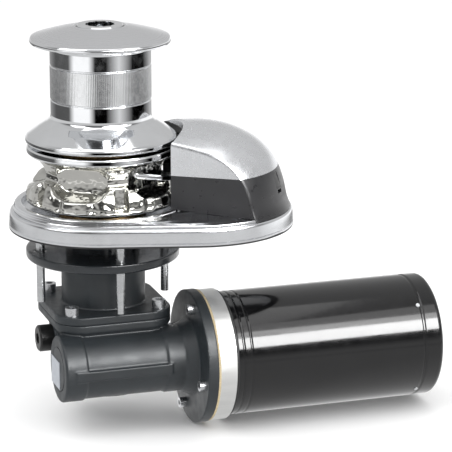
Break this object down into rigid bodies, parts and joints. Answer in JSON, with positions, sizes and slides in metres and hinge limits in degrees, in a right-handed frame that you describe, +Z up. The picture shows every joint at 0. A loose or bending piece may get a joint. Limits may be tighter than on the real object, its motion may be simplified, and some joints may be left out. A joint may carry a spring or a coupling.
{
  "type": "vertical anchor windlass",
  "caption": "Deck-standing anchor windlass: chain gypsy and warping drum on a chromed base with a lift-off chain cover, worm gearbox and electric motor below the deck flange.",
  "frame": {"origin": "the shaft's axis where it crosses the deck plane, under the base's gasket", "axes": "+Z up along the shaft, +X from the shaft towards the motor's far end, +Y to the rear"},
  "size_m": [0.403, 0.2047, 0.3852],
  "materials": {
    "polished_chrome": "mirror polished",
    "machined_steel": "machined, satin",
    "bronze": "turned",
    "powder_coat": "satin powder coat on cast aluminium",
    "gloss_black_paint": "gloss",
    "cast_aluminium": "turned, satin",
    "black_rubber": "matt",
    "grey_plastic": "satin moulded",
    "black_plastic": "satin moulded",
    "phenolic": "matt",
    "label_foil": "blank foil",
    "gasket_fibre": "matt fibre",
    "copper": "bright",
    "dark_iron": "matt",
    "carbon": "matt"
  },
  "bodies": {
    "frame": {"base_plate": "polished_chrome", "base_gasket": "black_rubber", "shaft_seal": "black_rubber", "upper_bearing": "machined_steel", "deck_studs": "machined_steel", "chain_stripper": "polished_chrome", "stripper_screws": "machined_steel", "lever_pin": "machined_steel", "lever_spring": "machined_steel", "deck_tube": "powder_coat", "deck_flange": "powder_coat", "neck_bearing": "machined_steel", "neck_seal": "black_rubber", "plate_screws": "machined_steel", "gearbox_housing": "powder_coat", "housing_oring": "black_rubber", "oil_plug": "black_plastic", "worm_end_cap": "powder_coat", "label_plate": "label_foil", "lower_bearing": "machined_steel", "worm_bearings": "machined_steel", "worm_seal": "black_rubber", "flange_screws": "machined_steel", "motor_gasket": "gasket_fibre", "front_bell": "cast_aluminium", "case_bead": "black_rubber", "motor_case": "gloss_black_paint", "end_cap": "gloss_black_paint", "case_screws": "machined_steel", "field_magnets": "dark_iron", "motor_bearings": "machined_steel", "brush_holder": "phenolic", "carbon_brushes": "carbon", "terminal_insulators": "black_rubber", "terminal_posts": "machined_steel", "terminal_nuts": "machined_steel"},
    "shaft": {"main_shaft": "machined_steel", "shaft_keys": "machined_steel", "lower_cone": "bronze", "upper_cone": "bronze", "drum": "polished_chrome", "shaft_end_washer": "machined_steel", "shaft_end_screw": "machined_steel", "worm_wheel": "bronze", "wheel_circlip": "machined_steel"},
    "gypsy": {"gypsy": "polished_chrome"},
    "washer": {"thrust_washer": "bronze"},
    "nut": {"clutch_nut": "machined_steel"},
    "lever": {"pressure_lever": "polished_chrome"},
    "cover": {"cover_lid": "polished_chrome", "cover_shell": "grey_plastic"},
    "latch": {"cover_latch": "grey_plastic"},
    "worm": {"worm_shaft": "machined_steel", "motor_coupling": "machined_steel", "motor_shaft": "machined_steel", "armature_core": "dark_iron", "armature_windings": "copper", "commutator": "copper"}
  },
  "joints": [
    {"name": "worm_spin", "type": "hinge", "parent": "frame", "child": "worm", "pos_m": [0, -0.05, -0.125], "axis": [1, 0, 0], "continuous": true},
    {"name": "shaft_spin", "type": "hinge", "parent": "frame", "child": "shaft", "pos_m": [0, 0, 0], "axis": [0, 0, 1], "continuous": true},
    {"name": "gypsy_spin", "type": "hinge", "parent": "shaft", "child": "gypsy", "pos_m": [0, 0, 0.05], "axis": [0, 0, 1], "continuous": true},
    {"name": "nut_turn", "type": "hinge", "parent": "washer", "child": "nut", "pos_m": [0, 0, 0.17], "axis": [0, 0, 1], "range_deg": [0, 360]},
    {"name": "washer_slide", "type": "slide", "parent": "shaft", "child": "washer", "axis": [0, 0, 1], "range_m": [0, 0.002]},
    {"name": "lever_swing", "type": "hinge", "parent": "frame", "child": "lever", "pos_m": [0.064, -0.048, 0.053], "axis": [0, 0, 1], "range_deg": [0, 15], "stiffness_Nm_per_rad": 0.5, "springref_deg": -17.19},
    {"name": "cover_lift", "type": "slide", "parent": "frame", "child": "cover", "axis": [0, 0, 1], "range_m": [0, 0.09]},
    {"name": "latch_press", "type": "slide", "parent": "cover", "child": "latch", "axis": [-0.788, 0.6157, 0], "range_m": [0, 0.0025], "stiffness_N_per_m": 800}
  ],
  "couplings": [
    {"joint": "shaft_spin", "follows": "worm_spin", "ratio": -0.033333},
    {"joint": "washer_slide", "follows": "nut_turn", "m_per_rad": 0.0003183}
  ]
}
